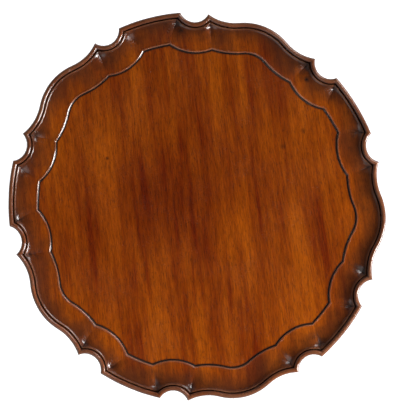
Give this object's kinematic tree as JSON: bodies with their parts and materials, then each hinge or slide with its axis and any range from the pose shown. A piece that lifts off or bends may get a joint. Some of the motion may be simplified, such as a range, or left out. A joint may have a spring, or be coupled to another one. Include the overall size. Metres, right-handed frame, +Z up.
{
  "type": "tilt-top tea table",
  "caption": "Round tilt-top tea table with a carved piecrust rim, turning and tipping on a birdcage over a turned pillar and tripod of cabriole legs.",
  "frame": {"origin": "on the floor under the pillar's axis, at the middle of the table", "axes": "+Z up; +Y along the pintle line that the top tips on, and along a line of symmetry of the carved outline; the catch is on the +X side"},
  "size_m": [0.6428, 0.6712, 0.71],
  "materials": {
    "top_wood": "waxed figured mahogany",
    "base_wood": "waxed dark mahogany",
    "iron": "dark wrought iron",
    "brass": "aged brass",
    "steel": "dull steel"
  },
  "bodies": {
    "stand": {"pillar": "base_wood", "leg_1": "base_wood", "leg_2": "base_wood", "leg_3": "base_wood", "brace_plate": "iron", "brace_screws": "iron", "collar": "base_wood", "key": "base_wood"},
    "cage": {"top_block": "base_wood", "bottom_block": "base_wood", "baluster_1": "base_wood", "baluster_2": "base_wood", "baluster_3": "base_wood", "baluster_4": "base_wood", "baluster_wedges": "top_wood", "keeper_plate": "brass", "keeper_screws": "brass"},
    "top": {"top_board": "top_wood", "batten_left": "base_wood", "batten_right": "base_wood", "batten_screws": "steel", "catch_case": "brass", "catch_spring": "steel", "catch_screws": "brass"},
    "latch": {"catch_bolt": "brass"}
  },
  "joints": [
    {"name": "swivel", "type": "hinge", "parent": "stand", "child": "cage", "pos_m": [0, 0, 0.55], "axis": [0, 0, 1], "continuous": true},
    {"name": "tilt", "type": "hinge", "parent": "cage", "child": "top", "pos_m": [-0.089, 0, 0.675], "axis": [0, -1, 0], "range_deg": [0, 90]},
    {"name": "bolt_slide", "type": "slide", "parent": "top", "child": "latch", "axis": [-1, 0, 0], "range_m": [0, 0.007], "stiffness_N_per_m": 250, "springref_m": 0.007, "deforming": ["catch_spring"]}
  ]
}
